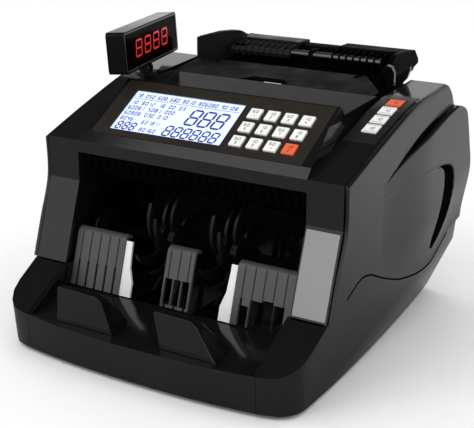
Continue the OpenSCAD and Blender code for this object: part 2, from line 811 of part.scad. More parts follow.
module guide_plate(x0, x1) {
  along_x(concat([plate_point(0.03, 0)], roll(plate_roll),
    [for (i = [len(roll(plate_roll)) - 1 : -1 : 0]) roll(plate_roll - plate_t)[i]],
    [plate_point(0.03, plate_t)]), x0, x1);
}

plate_pitch = 8;
module plate_grooves(x0, count) {
  for (i = [0 : count - 1]) {
    x = x0 + i * plate_pitch;
    along_x([plate_point(-0.1, -2), plate_point(1.3, -2), plate_point(1.3, 0.9), plate_point(-0.1,
      0.9)], x - 0.5, x + 0.5);
    along_x([plate_point(-0.1, -3), plate_point(0.5, -3), plate_point(0.5, 5), plate_point(-0.1, 5)],
      x - 0.9, x + 0.9);
  }
}

module guide_plate_left() {
  color([0.36, 0.36, 0.37]) difference() {
    guide_plate(-90, -47.5);
    plate_grooves(-85, 5);
  }
}

module guide_plate_centre() {
  color([0.36, 0.36, 0.37]) difference() {
    guide_plate(-11.5, 11.5);
    plate_grooves(-8, 3);
    // window with thin ribs
    for (w = [[-10, -3.9], [-2.9, 2.9], [3.9, 10]])
      along_x([plate_point(0.08, -3), plate_point(0.54, -3), plate_point(0.54, 5), plate_point(0.08,
        5)], w[0], w[1]);
  }
}

module guide_plate_right() {
  color([0.36, 0.36, 0.37]) difference() {
    guide_plate(45.4, 89.5);
    plate_grooves(51.5, 5);
    // arched opening, with ribs left between its windows
    for (w = [[50.4, 57.6, 0.38], [58.5, 66.6, 0.5], [67.5, 75.6, 0.54], [76.5, 84.6, 0.5]])
      along_x([plate_point(-0.1, -3), plate_point(w[2], -3), plate_point(w[2], 5), plate_point(-0.1,
        5)], w[0], w[1]);
  }
}

module sensor_panel(flip) {
  top = [40, 45.2];
  foot = [35.6, 45.2];
  mirror([flip, 0, 0]) intersection() {
    along_x([plate_point(0.03, 1), plate_point(1.02, 1), plate_point(1.02, 2.6), plate_point(0.03,
      2.6)], 30, 50);
    along_y([[foot[0], 30], [foot[0], 46], [39, 56], [top[0], 70], [top[0], 90], [top[1], 90],
      [foot[1], 30]], -95, -60);
  }
}

module sensor_panels() {
  color([0.95, 0.95, 0.95]) {
    sensor_panel(0);
    translate([-2.1, 0, 0]) sensor_panel(1);
  }
}

// Curved, ribbed exit guide under the console
module exit_guide() {
  curve = [[-64, 130.4], [-64, 126], [-61, 118], [-55, 112.5], [-46, 110.4], [-34, 110.6], [-14, 114]];
  color([0.06, 0.06, 0.065]) {
    along_x(concat(curve, [for (i = [len(curve) - 1 : -1 : 1]) curve[i] + [1.2, 2.2]], [[-61.8,
      130.4]]), -89.8, 89.8);
    for (x = [-84 : 7 : 84])
      along_x([[-66, 129], [-63.4, 129], [-63.3, 126], [-60.3, 118.4], [-54.6, 113.1], [-46, 111.1],
        [-46, 109.4],
        [-56, 110.6], [-63, 116.6], [-66, 124.5]], x - 0.6, x + 0.6);
  }
}

// Leaning stop at the front of the tray: trapezoid face, gusset behind
module stacker_stop(foot_left, foot_right, top_left, top_right) {
  stop_y = -128.3;
  stop_top = 54.6;
  depth = 19;
  difference() {
    along_y([[foot_left, 27.4], [top_left, stop_top - 1.5], [top_left + 1.5, stop_top],
      [top_right - 1, stop_top - 0.6],
      [top_right + 3.4, stop_top - 3.4], [foot_right, 27.4]], stop_y, stop_y + depth);
    // the gusset falls away behind the face
    along_x([[stop_y + 4.5, stop_top + 1], [stop_y + depth, 33.5], [stop_y + depth + 5, 33.5],
      [stop_y + 25, stop_top + 1]],
      -big, big);
    // the floor rises under it
    along_x([[-131, 20], [-131, 27.02], [plate_foot[0], plate_foot[1] + 0.02], [plate_foot[0], 20]], -90, 90);
    // hollow behind the face
    along_y([[foot_left + 2, 20], [top_left + 2, stop_top - 3], [top_right - 1, stop_top - 3.4],
      [foot_right - 3.6, 20]],
      stop_y + 2.4, stop_y + depth + 1);
  }
}

module stacker_stops() {
  color([0.05, 0.05, 0.055]) {
    stacker_stop(-67.5, -19.7, -65.4, -31.5);
    stacker_stop(19.1, 62.5, 14.5, 44.5);
  }
}

module cover_screws() {
  color("silver") {
    for (p = screw_places) translate([p[0], p[1], foot_h - 1.6]) {
      cylinder(r = 3, h = 1.6);
      cylinder(r = 1.55, h = 10);
    }
  }
}

// Side cover: flat plate with a raised rear panel, a sweeping edge and a C-shaped groove
rear_line = [[101.7, 158.5], [117, 153], [130.6, 109], [127, 66.4]];

// A band of even width along a path
function side_step(path, i) = let (a = path[max(i - 1, 0)], b = path[min(i + 1, len(path) - 1)], d = b - a)
  [-d[1], d[0]] / norm(d);

function ribbon(path, w) = concat(
  [for (i = [0 : len(path) - 1]) path[i] + side_step(path, i) * w * min(1, (i + 1) / 4)],
  [for (i = [len(path) - 1 : -1 : 0]) path[i] - side_step(path, i) * w * min(1, (i + 1) / 4)]);

sweep_line = [[-27, 120.8], [-8, 127.5], [9.3, 134.2], [31, 142.6], [59.7, 152.2], [80, 156], [101.8, 157.3]];
c_line = [[-21, 113.7], [15, 116], [45, 117], [75, 117], [95, 114.4], [105, 108], [107.4, 97], [103.7,
  86.4], [92.4, 71.5],
  [83.2, 59], [77, 52]];

module side_cover() {
  difference() {
    union() {
      along_x(concat([[pillar_foot_y, pillar_foot_z + seam]], [[pillar_y, pillar_mid_z]], deck_line,
        rear_line,
        [for (i = [len(s_line) - 1 : -1 : 1]) s_line[i] + [0, seam]]), side_x - 3, side_x);
      intersection() {
        along_x(concat(sweep_line, [rear_line[1], rear_line[2], rear_line[3]], [[100, 62.3], [84, 52.3],
          [69, 46], [50, 45.2], [13, 52], [-10, 61]]), side_x - 1, side_x + 5);
        translate([side_x, -27, 0]) rotate([0, 0, -2]) translate([-20, -50, 0]) cube([20, 250, 200]);
      }
    }
    along_x(ribbon(c_line, 2.6), side_x - 0.6, side_x + 10);
  }
}

module side_cover_right() {
  color([0.06, 0.06, 0.065]) side_cover();
}

module side_cover_left() {
  color([0.06, 0.06, 0.065]) mirror([1, 0, 0]) side_cover();
}

module rear_cover() {
  half = side_x - 3 - seam;
  outer = [[88.3, 175.2], [100.4, 157.4], [115.6, 152], [129, 109], [125, 66.6]];
  color([0.06, 0.06, 0.065]) difference() {
    along_x(concat(outer, [for (i = [len(outer) - 1 : -1 : 0]) [max(outer[i][0] - wall, outer[0][0]),
      outer[i][1] - 1]]),
      -half, half);
    // the hopper bed passes through
    along_x([[80, 130], [96, 151.6], [112, 163.4], [120, 168.6], [140, 173.6], [140, 200], [80, 200]],
      -bay_x, bay_x);
    // vents
    for (x = [-70 : 10 : 70]) box([x - 2.5, 110, 84], [x + 2.5, 140, 104]);
  }
}

// Customer display: stalk, case and window
// The stalk's fork and the case's lug meet on a pin along Y
tilt_z = 175.8;
fork_r = 3.9;

module display_stalk() {
  color([0.05, 0.05, 0.055]) {
    translate([display_x, display_y, 148]) cylinder(r = stalk_r, h = 24);
    translate([display_x, display_y, 170.3]) cylinder(r = 8, h = 3.1);
    translate([display_x, display_y, tilt_z]) rotate([0, 0, display_turn]) difference() {
      rod_y(fork_r, -5, 5);
      box([-8, -2.6, -2.4], [8, 2.6, 15]);
      rod_y(1.6 + bore_play, -10, 10);
    }
  }
}

module rod_y(r, y0, y1) {
  translate([0, y1, 0]) rotate([90, 0, 0]) cylinder(r = r, h = y1 - y0);
}

// Frame of the display's pin, and of the case: X out of its face, Y along it, Z up it
module on_pin() {
  translate([display_x, display_y, tilt_z]) rotate([0, 0, display_turn]) rotate([0, -display_lean,
    0]) children();
}

module on_display() {
  on_pin() translate([display_off[0], display_off[1], display_z - tilt_z]) children();
}

display_t = 14;

module display_case() {
  color([0.05, 0.05, 0.055]) {
    on_display() difference() {
      hull() for (y = [-1, 1], z = [-1, 1]) translate([-display_t / 2, y * (display_len / 2 - 3),
        z * (display_h / 2 - 3)])
        rotate([0, 90, 0]) cylinder(r = 3, h = display_t, $fn = 24);
      translate([display_t / 2 - 1.6, -display_len / 2 + 2.4, -display_h / 2 + 2.4])
        cube([5, display_len - 4.8, display_h - 4.8]);
      translate([-display_t / 2 + 2, -display_len / 2 + 4, -display_h / 2 + 8])
        cube([display_t - 5, display_len - 8, display_h - 12]);
    }
    // lug and pin that hang in the stalk's fork
    on_pin() {
      rod_y(1.6, -4.9, 4.9);
      rod_y(2.3, -2.4, 2.4);
      translate([-2.3, -2.4, 0]) cube([4.6, 4.8, 7]);
    }
  }
}

module display_window() {
  color([0.4, 0.02, 0.02]) on_display()
    translate([display_t / 2 - 1.5, -display_len / 2 + 2.6, -display_h / 2 + 2.6])
      cube([1.3, display_len - 5.2, display_h - 5.2]);
}

base_housing();
front_tray();
bottom_plate();
rubber_feet();
top_housing();
side_cover_left();
side_cover_right();
rear_cover();
control_fascia();
lcd_module();
side_key_fascia();
circuit_boards();
power_supply();
frame_plates();
hopper_bed();
hopper_rear_rail();
guide_rod();
drive_motors();
shaft_bearings();
drive_belts();
guide_plate_left();
guide_plate_centre();
guide_plate_right();
sensor_panels();
exit_guide();
stacker_stops();
cover_screws();
power_inlet();
feed_lid();
hopper_guide_left();
hopper_guide_right();
gap_knob();
separator_bracket();
feed_rollers();
pickup_rollers();
main_pulley();
impeller_shaft();
impeller_wheels();
stacker_pulley();
display_stalk();
display_case();
display_window();
rocker_switch();
lid_hinge_pin();
color([0.93, 0.93, 0.9]) panel_key(0, 0);  // key_1
color([0.93, 0.93, 0.9]) panel_key(0, 1);  // key_2
color([0.93, 0.93, 0.9]) panel_key(0, 2);  // key_3
color([0.93, 0.93, 0.9]) panel_key(0, 3);  // key_4
color([0.93, 0.93, 0.9]) panel_key(1, 0);  // key_5
color([0.93, 0.93, 0.9]) panel_key(1, 1);  // key_6
color([0.93, 0.93, 0.9]) panel_key(1, 2);  // key_7
color([0.93, 0.93, 0.9]) panel_key(1, 3);  // key_8
color([0.93, 0.93, 0.9]) panel_key(2, 0);  // key_9
color([0.93, 0.93, 0.9]) panel_key(2, 1);  // key_10
color([0.93, 0.93, 0.9]) panel_key(2, 2);  // key_11
color([0.85, 0.2, 0.08]) panel_key(2, 3);  // key_12
color([0.85, 0.2, 0.08]) side_key(0);  // side_key_1
color([0.93, 0.93, 0.9]) side_key(1);  // side_key_2
color([0.93, 0.93, 0.9]) side_key(2);  // side_key_3
color([0.93, 0.93, 0.9]) side_key(3);  // side_key_4
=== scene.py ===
"""Looks for the banknote counter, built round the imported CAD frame.

Named lengths are in millimetres, and MM turns them into the metres that Blender works in.
"""

import json
import math

import bpy
import numpy as np
from mathutils import Matrix, Vector


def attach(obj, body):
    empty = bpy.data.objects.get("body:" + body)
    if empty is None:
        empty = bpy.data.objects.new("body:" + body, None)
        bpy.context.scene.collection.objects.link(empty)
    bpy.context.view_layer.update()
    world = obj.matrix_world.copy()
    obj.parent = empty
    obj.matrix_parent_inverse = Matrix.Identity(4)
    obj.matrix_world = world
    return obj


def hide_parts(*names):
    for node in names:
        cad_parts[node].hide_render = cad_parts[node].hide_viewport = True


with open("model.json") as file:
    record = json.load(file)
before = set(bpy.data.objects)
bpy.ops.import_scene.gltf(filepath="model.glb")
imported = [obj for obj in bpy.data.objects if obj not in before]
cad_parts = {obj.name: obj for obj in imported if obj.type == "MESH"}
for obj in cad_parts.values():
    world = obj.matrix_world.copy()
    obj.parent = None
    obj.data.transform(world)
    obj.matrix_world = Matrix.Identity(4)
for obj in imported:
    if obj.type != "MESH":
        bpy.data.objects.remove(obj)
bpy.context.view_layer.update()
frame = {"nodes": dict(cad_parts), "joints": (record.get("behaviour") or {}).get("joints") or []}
PIVOTS = {joint["name"]: Vector(joint["pos_m"]) for joint in frame["joints"] if "pos_m" in joint}

MM = 0.001

# Control panel: its lower front edge, its slope, and the places of the screen and the keys on it
PANEL_Y = -62.5
PANEL_Z = 145.8
PANEL_TILT = math.radians(30.6)
LCD_LOW = (-73.0, 5.8)
LCD_SIZE = (93.4, 41.6)
KEY_X = (30.8, 44.1, 57.4, 70.7)
KEY_Y = (39.2, 25.8, 12.3)
KEY_TOP = 1.2
LEGEND_THICK = 0.05

# Side keys: their middle across the machine, and each one's y, z and slope in degrees
SIDE_KEY_X = 106.3
SIDE_KEYS = ((30.6, 170.4, 11.5), (18.0, 167.6, 16.0), (6.2, 164.0, 17.1), (-5.6, 160.4, 17.1))

# Customer display: its turn and lean, and its case's middle (from the tilt pivot) and size
DISPLAY_TURN = math.radians(14.9)
DISPLAY_LEAN = math.radians(4.0)
DISPLAY_MIDDLE = (0.7, -2.1, 20.2)
DISPLAY_SIZE = (108.0, 30.4, 14.0)

# Side covers: the curves that bound them, as (y, z)
COVER_FOOT = (
    (-87.3, 53.2), (-66, 64.3), (-50, 70.8), (-41, 71.8), (-30, 69.3), (-10, 60.3), (13, 51.8),
    (32, 47.6), (50, 45.1), (69, 45.9), (84, 52.3), (100, 60.5), (127, 66.3),
)
COVER_SWEEP = (
    (-27, 120.8), (-12, 127.6), (16, 137.6), (50, 146.2), (75, 153), (92, 156.4), (101.8, 157.6),
)
# COVER_LENS is the upper edge of the painted shade band over the sweep
COVER_LENS = ((2, 134.2), (20, 141.6), (39, 148.6), (62.8, 154.6), (84, 156.6), (98, 157.6))
COVER_TOP = ((-68, 139.5), (-20, 155.9), (18, 167.6), (38, 171.7), (60, 173.6), (88, 175.6))
COVER_FRONT = ((-87.3, 53.2), (-77.6, 81.5), (-68, 109.7), (-68, 139.5))
COVER_BACK = (
    (127, 66.3), (129.4, 88), (130.4, 109), (126, 126), (120.5, 144), (116.5, 152), (109, 156.2),
    (101.8, 158),
)
COVER_REAR = COVER_BACK + ((96, 168), (88, 175.6))
COVER_RIDGE = ((-26, 116.7), (-3, 119.2), (36, 120.2), (69, 120.6))
GROOVE_OUTER = (
    (60, 120.6), (74, 120.2), (88, 117.2), (95.8, 111.0), (97.2, 100.3), (96.4, 89), (93.4, 75.6),
    (83, 64), (70, 56.2),
)
GROOVE_INNER = (
    (61, 119.8), (70, 118.4), (76.4, 114.4), (78.1, 105.1), (76.6, 97), (72.7, 85.3), (68.6, 74),
    (66, 66), (64.5, 58),
)
COVER_X = 122.0
COVER_THICK = 2.6

# A cover's edges fall away by this much, over these last shares of its height and of its depth
COVER_EDGE_DROP = 1.6
COVER_TOP_EDGE = 0.014
COVER_REAR_EDGE = 0.008

# Raised rear panel of a side cover: its foot and its front edge
PANEL_FOOT = COVER_FOOT[5:]
PANEL_FRONT = (PANEL_FOOT[0], (-20, 92), COVER_SWEEP[0])

# Impeller wheels: each disc's place along the axle, and the outer radius
IMPELLER_R = 37.6
IMPELLER_LAYERS = (-33.0, -23.0, 19.0, 29.0)

# Right pillar's sloping front face: its foot and top as (y, z), and the label on it
PILLAR_FOOT = (-87.3, 52.9)
PILLAR_TOP = (-68.0, 109.7)
LABEL_LOW = (93.4, 1.6)
LABEL_SIZE = (23.8, 56.0)
LABEL_HEIGHTS = (0.02, 0.12)


# ---------------------------------------------------------------- materials

NOISE_SPAN = (0.3, 0.7)  # a noise texture seldom leaves this range
DRIFT_SCALE = 14.0
SMUDGE_SCALE = 55.0
GRAIN_DEPTH = 0.1 * MM


def new_material(name):
    material = bpy.data.materials.new(name)
    material.use_nodes = True
    nodes = material.node_tree.nodes
    return material, nodes, material.node_tree.links, nodes["Principled BSDF"]


def coordinates(nodes, links, scale):
    where = nodes.new("ShaderNodeTexCoord")
    mapping = nodes.new("ShaderNodeMapping")
    mapping.inputs["Scale"].default_value = scale
    links.new(where.outputs["Object"], mapping.inputs["Vector"])
    return mapping.outputs["Vector"]


def split_place(nodes, links, source):
    """The X, Y and Z outputs of one kind of coordinate."""
    where = nodes.new("ShaderNodeTexCoord")
    parts = nodes.new("ShaderNodeSeparateXYZ")
    links.new(where.outputs[source], parts.inputs["Vector"])
    return parts.outputs


def noise(nodes, links, vector, scale, detail=3.0):
    texture = nodes.new("ShaderNodeTexNoise")
    texture.inputs["Scale"].default_value = scale
    texture.inputs["Detail"].default_value = detail
    links.new(vector, texture.inputs["Vector"])
    return texture.outputs["Fac"]


def remap(nodes, links, value, source, target):
    """A node that maps a value from one (low, high) range onto another."""
    span = nodes.new("ShaderNodeMapRange")
    for name, number in zip(("From Min", "From Max", "To Min", "To Max"), (*source, *target)):
        span.inputs[name].default_value = number
    links.new(value, span.inputs["Value"])
    return span


def ramp(nodes, links, value, low, high):
    """Spreads a noise value over low..high, which are numbers or colours."""
    if isinstance(low, (int, float)):
        return remap(nodes, links, value, NOISE_SPAN, (low, high)).outputs["Result"]
    mix = nodes.new("ShaderNodeValToRGB")
    for element, place, color in zip(mix.color_ramp.elements, NOISE_SPAN, (low, high)):
        element.position = place
        element.color = (*color, 1)
    links.new(value, mix.inputs["Fac"])
    return mix.outputs["Color"]


def compare(nodes, links, value, operation, limit):
    """1 where the value passes the test against the limit, else 0."""
    test = nodes.new("ShaderNodeMath")
    test.operation = operation
    test.inputs[1].default_value = limit
    links.new(value, test.inputs[0])
    return test.outputs["Value"]


def in_reflections(nodes, links, direct, reflected):
    """The number direct in plain view, and the value reflected where a glossy ray looks."""
    rays = nodes.new("ShaderNodeLightPath")
    pick = nodes.new("ShaderNodeMix")
    pick.inputs["A"].default_value = direct
    links.new(rays.outputs["Is Glossy Ray"], pick.inputs["Factor"])
    links.new(reflected, pick.inputs["B"])
    return pick.outputs["Result"]


def darker(color, share):
    return tuple(c * share for c in color)


def add_bump(nodes, links, shader, height, strength, distance):
    bump = nodes.new("ShaderNodeBump")
    bump.inputs["Strength"].default_value = strength
    bump.inputs["Distance"].default_value = distance
    links.new(height, bump.inputs["Height"])
    links.new(bump.outputs["Normal"], shader.inputs["Normal"])


def plastic(name, color, rough, grain=0.0, grain_scale=1800.0, spread=0.25, specular=0.5):
    """Moulded plastic: a little colour drift, uneven gloss, and moulded grain."""
    material, nodes, links, shader = new_material(name)
    vector = coordinates(nodes, links, (1, 1, 1))
    drift = noise(nodes, links, vector, DRIFT_SCALE)
    links.new(ramp(nodes, links, drift, darker(color, 1 - spread), color), shader.inputs["Base Color"])
    smudge = noise(nodes, links, vector, SMUDGE_SCALE, 6.0)
    links.new(ramp(nodes, links, smudge, rough * 0.8, rough * 1.25), shader.inputs["Roughness"])
    shader.inputs["Specular IOR Level"].default_value = specular
    if grain:
        add_bump(nodes, links, shader, noise(nodes, links, vector, grain_scale), grain, GRAIN_DEPTH)
    return material


def metal(name, color, rough, stretch, grain=0.15):
    """Brushed or drawn metal, its grain stretched along one axis."""
    material, nodes, links, shader = new_material(name)
    shader.inputs["Metallic"].default_value = 1.0
    vector = coordinates(nodes, links, stretch)
    drift = noise(nodes, links, vector, 30.0)
    links.new(ramp(nodes, links, drift, darker(color, 0.8), color), shader.inputs["Base Color"])
    lines = noise(nodes, links, vector, 900.0, 4.0)
    links.new(ramp(nodes, links, lines, rough * 0.7, rough * 1.4), shader.inputs["Roughness"])
    add_bump(nodes, links, shader, lines, grain, GRAIN_DEPTH / 2)
    return material


def glowing(name, color, strength):
    """A lit surface: a back-lit screen or a lamp segment, a little uneven."""
    material, nodes, links, shader = new_material(name)
    vector = coordinates(nodes, links, (1, 1, 1))
    drift = noise(nodes, links, vector, 25.0)
    tint = ramp(nodes, links, drift, darker(color, 0.9), color)
    links.new(tint, shader.inputs["Base Color"])
    links.new(tint, shader.inputs["Emission Color"])
    shader.inputs["Emission Strength"].default_value = strength
    shader.inputs["Roughness"].default_value = 0.3
    return material


# Plastics: name, colour, roughness, strength and scale of the grain, and spread of the colour
GLOSS_BLACK = plastic("gloss_black", (0.006, 0.006, 0.0065), 0.12, 0.02, 700.0)
CASE_BLACK = plastic("case_black", (0.003, 0.003, 0.0031), 0.16, 0.02, 700.0, specular=0.1)
LID_BLACK = plastic("lid_black", (0.004, 0.004, 0.0042), 0.5, 0.15, 2200.0, specular=0.05)
# Near black without reflections: the real black of the belts and the bay's inner parts, darkened further as
# painted shade inside the bay; also painted shade in the side-cover groove and over the sweep
BAY_BLACK_AND_SHADE = plastic("bay_black_and_shade", (0.0025, 0.0025, 0.0026), 0.5, 0.1, 1500.0, specular=0.0)
COVER_BLACK = plastic("cover_black", (0.008, 0.008, 0.0085), 0.16, 0.03, 700.0)
SATIN_BLACK = plastic("satin_black", (0.005, 0.005, 0.0053), 0.45, 0.2, 2200.0, specular=0.22)
# A darker copy of the satin black: painted shade on the hopper's bed, rear rail and right guide
HOPPER_SHADE_BLACK = plastic("hopper_shade_black", (0.003, 0.003, 0.0031), 0.5, 0.2, 1500.0, specular=0.015)
FASCIA = plastic("fascia_brown", (0.022, 0.017, 0.0125), 0.36, 0.12, 2600.0)
STRIP = plastic("strip_black", (0.012, 0.010, 0.009), 0.3, 0.1, 2600.0)
GREY_PLATE = plastic("ribbed_grey", (0.06, 0.06, 0.062), 0.34, 0.3, 2400.0, 0.12)
WHITE_PANEL = plastic("white_panel", (0.82, 0.82, 0.83), 0.3, 0.05, 900.0, 0.05)
KEY_WHITE = plastic("key_white", (0.82, 0.82, 0.8), 0.42, 0.12, 2400.0, 0.05)
KEY_ORANGE = plastic("key_orange", (0.78, 0.12, 0.03), 0.4, 0.12, 2400.0, 0.1)
LEGEND = plastic("legend_ink", (0.03, 0.03, 0.03), 0.5, 0.1, 2400.0, 0.3)
RUBBER = plastic("rubber", (0.018, 0.018, 0.018), 0.7, 0.4, 1600.0, 0.3)
BLADE = plastic("impeller_rubber", (0.005, 0.005, 0.0053), 0.4, 0.15, 1500.0, 0.2, specular=0.25)
LABEL = plastic("silver_label", (0.25, 0.25, 0.255), 0.42, 0.08, 2000.0, 0.06)
BOARD = plastic("board_green", (0.02, 0.14, 0.05), 0.35, 0.3, 900.0, 0.3)
SWITCH_RED = plastic("switch_red", (0.35, 0.015, 0.01), 0.25, 0.05, 900.0)
WINDOW = plastic("window_red", (0.003, 0.0006, 0.0006), 0.12, 0.0, specular=0.01)
LCD_INK = plastic("lcd_ink", (0.02, 0.03, 0.3), 0.35, 0.02, 900.0, 0.1)

# Metals: name, colour, roughness, stretch of the grain along x, y and z, and its strength
STEEL = metal("brushed_steel", (0.45, 0.45, 0.47), 0.32, (1, 12, 1))
# A darker copy of the bright steel: painted shade on the guide rod
ROD_STEEL_IN_SHADE = metal("rod_steel_in_shade", (0.13, 0.13, 0.135), 0.25, (1, 8, 8), 0.05)
BRIGHT = metal("bright_steel", (0.72, 0.72, 0.74), 0.16, (1, 8, 8), 0.05)
TRIM = metal("silver_trim", (0.16, 0.16, 0.17), 0.3, (8, 1, 8), 0.05)
ALUMINIUM = metal("aluminium", (0.55, 0.55, 0.57), 0.38, (1, 1, 10))

# Lit surfaces: name, colour and strength
LCD = glowing("lcd_backlight", (0.58, 0.68, 0.95), 0.55)
LED_RED = glowing("led_red", (0.42, 0.006, 0.01), 1.0)


def housing_black():
    """Gloss black whose rear deck, between the two rails, is matt."""
    deck_half_width, deck_front = 88.5, -12.5
    gloss, matt = 0.5, 0.01
    material = plastic("housing_black", (0.006, 0.006, 0.0065), 0.12, 0.02, 700.0)
    nodes, links = material.node_tree.nodes, material.node_tree.links
    place = split_place(nodes, links, "Object")
    width = nodes.new("ShaderNodeMath")
    width.operation = "ABSOLUTE"
    links.new(place["X"], width.inputs[0])
    between = compare(nodes, links, width.outputs["Value"], "LESS_THAN", deck_half_width * MM)
    behind = compare(nodes, links, place["Y"], "GREATER_THAN", deck_front * MM)
    both = nodes.new("ShaderNodeMath")
    both.operation = "MULTIPLY"
    links.new(between, both.inputs[0])
    links.new(behind, both.inputs[1])
    shine = remap(nodes, links, both.outputs["Value"], (0, 1), (gloss, matt))
    links.new(shine.outputs["Result"], nodes["Principled BSDF"].inputs["Specular IOR Level"])
    return material


HOUSING_BLACK = housing_black()

NODE_MATERIALS = {
    GLOSS_BLACK: ("base_housing", "front_tray", "stacker_stops"),
    HOUSING_BLACK: ("top_housing",),
    CASE_BLACK: ("display_case", "gap_knob"),
    LID_BLACK: ("feed_lid",),
    BAY_BLACK_AND_SHADE: ("frame_plates", "impeller_shaft", "separator_bracket", "drive_belts", "exit_guide"),
    COVER_BLACK: ("side_cover_left", "side_cover_right", "rear_cover"),
    SATIN_BLACK: ("hopper_guide_left", "display_stalk", "power_inlet"),
    HOPPER_SHADE_BLACK: ("hopper_bed", "hopper_rear_rail", "hopper_guide_right"),
    FASCIA: ("control_fascia",),
    STRIP: ("side_key_fascia",),
    GREY_PLATE: ("guide_plate_left", "guide_plate_centre", "guide_plate_right"),
    WHITE_PANEL: ("sensor_panels",),
    RUBBER: ("rubber_feet", "feed_rollers", "pickup_rollers"),
    BLADE: ("impeller_wheels",),
    STEEL: ("bottom_plate", "drive_motors", "shaft_bearings"),
    ROD_STEEL_IN_SHADE: ("guide_rod",),
    BRIGHT: ("lid_hinge_pin", "cover_screws", "main_pulley", "stacker_pulley"),
    ALUMINIUM: ("power_supply",),
    BOARD: ("circuit_boards",),
    LCD: ("lcd_module",),
    WINDOW: ("display_window",),
    SWITCH_RED: ("rocker_switch",),
    KEY_ORANGE: ("key_12", "side_key_1"),
    KEY_WHITE: (*(f"key_{i}" for i in range(1, 12)), *(f"side_key_{i}" for i in range(2, 5))),
}


def dress_cad_nodes():
    for material, names in NODE_MATERIALS.items():
        for name in names:
            mesh = frame["nodes"][name].data
            mesh.materials.clear()
            mesh.materials.append(material)
            for polygon in mesh.polygons:
                polygon.material_index = 0


# ---------------------------------------------------------------- rounded edges

# Width of the rounding for each CAD node that shows its edges
EDGE_ROUND = {
    "top_housing": 0.45, "base_housing": 0.8, "front_tray": 0.8, "side_cover_left": 0.9,
    "side_cover_right": 0.9, "rear_cover": 0.8, "display_case": 1.5, "stacker_stops": 0.9,
    "feed_lid": 0.5, "control_fascia": 0.25, "side_key_fascia": 0.15, "hopper_guide_left": 0.4,
    "hopper_guide_right": 0.15, "hopper_rear_rail": 0.4, "gap_knob": 0.5, "guide_plate_left": 0.2,
    "guide_plate_centre": 0.2, "guide_plate_right": 0.2, "exit_guide": 0.2, "display_stalk": 0.3,
    "power_inlet": 0.3, "rocker_switch": 0.4,
    **{f"key_{i}": 0.6 for i in range(1, 13)},
    **{f"side_key_{i}": 0.6 for i in range(1, 5)},
}
SHARP_ANGLE = math.radians(28.0)
WELD_GAP = 0.01


def round_edges(thing, width, smooth=True):
    """Softens a mesh's sharp edges with modifiers, so that they catch the light."""
    mesh = thing.data
    custom = mesh.attributes.get("custom_normal")
    if custom:
        mesh.attributes.remove(custom)
    for polygon in mesh.polygons:
        polygon.use_smooth = smooth
    weld = thing.modifiers.new("weld", "WELD")
    weld.merge_threshold = WELD_GAP * MM
    bevel = thing.modifiers.new("round", "BEVEL")
    bevel.width = width * MM
    bevel.segments = 2
    bevel.limit_method = "ANGLE"
    bevel.angle_limit = SHARP_ANGLE
    bevel.harden_normals = True
    bevel.use_clamp_overlap = True
    bevel.miter_outer = "MITER_ARC"


def round_cad_edges():
    """Rounds the CAD nodes' edges; of these, only the top housing is flat-shaded."""
    for name, width in EDGE_ROUND.items():
        round_edges(frame["nodes"][name], width, smooth=name != "top_housing")


# ---------------------------------------------------------------- flat marks

def piece(name, points, faces, material, body, place=None, smooth=False):
    """A mesh piece from points in millimetres, riding on a CAD body."""
    mesh = bpy.data.meshes.new(name)
    place = place or Matrix.Identity(4)
    mesh.from_pydata([place @ (Vector(point) * MM) for point in points], [], faces)
    mesh.materials.append(material)
    for polygon in mesh.polygons:
        polygon.use_smooth = smooth
    mesh.update()
    thing = bpy.data.objects.new(name, mesh)
    bpy.context.scene.collection.objects.link(thing)
    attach(thing, body)
    return thing


def plate_mesh(outlines, low, high):
    """Closed plates between two heights, one for each counter-clockwise outline."""
    points, faces = [], []
    for outline in outlines:
        first, count = len(points), len(outline)
        points += [(u, v, low) for u, v in outline] + [(u, v, high) for u, v in outline]
        faces.append(tuple(first + count + i for i in range(count)))
        faces.append(tuple(first + i for i in reversed(range(count))))
        for i in range(count):
            after = (i + 1) % count
            faces.append((first + i, first + after, first + count + after, first + count + i))
    return points, faces


def bar(u, v, width, height):
    return [(u, v), (u + width, v), (u + width, v + height), (u, v + height)]


SEGMENTS = {
    "0": "abcdef", "1": "bc", "2": "abged", "3": "abgcd", "4": "fgbc", "5": "afgcd", "6": "afgedc",
    "7": "abc", "8": "abcdefg", "9": "abcdfg", "-": "g",
}


def digit(symbol, u, v, width, height, stroke, slant):
    """Outlines of one seven-segment figure whose lower left corner is (u, v)."""
    half, gap = stroke / 2, stroke * 0.12
    middle = height / 2

    def across(level):
        near, far = half + gap, half * 2 + gap
        return [(near, level), (far, level - half), (width - half * 2 - gap, level - half),
                (width - half - gap, level), (width - half * 2 - gap, level + half), (far, level + half)]

    def upright(column, low, high):
        return [(column, low + gap), (column + half, low + half + gap),
                (column + half, high - half - gap), (column, high - gap),
                (column - half, high - half - gap), (column - half, low + half + gap)]

    shapes = {
        "a": across(height - half),
        "b": upright(width - half, middle, height - half),
        "c": upright(width - half, half, middle),
        "d": across(half),
        "e": upright(half, half, middle),
        "f": upright(half, middle, height - half),
        "g": across(middle),
    }
    return [[(u + x + y * slant, v + y) for x, y in shapes[name]] for name in SEGMENTS[symbol]]


def figures(text, u, v, style):
    """A row of figures. A style is (width, height, stroke, slant, pitch in widths)."""
    width, height, stroke, slant, pitch = style
    outlines = []
    for place, symbol in enumerate(text):
        outlines += digit(symbol, u + place * width * pitch, v, width, height, stroke, slant)
    return outlines


def figure_groups(groups, u, v, style, advance, space, least=1):
    """Groups of figures in a row; a group takes at least that many places."""
    outlines = []
    for group in groups:
        outlines += figures(group, u, v, style)
        u += max(len(group), least) * advance + space
    return outlines


# ---------------------------------------------------------------- control panel

PANEL = (Matrix.Translation((0, PANEL_Y * MM, PANEL_Z * MM))
         @ Matrix.Rotation(PANEL_TILT, 4, "X"))

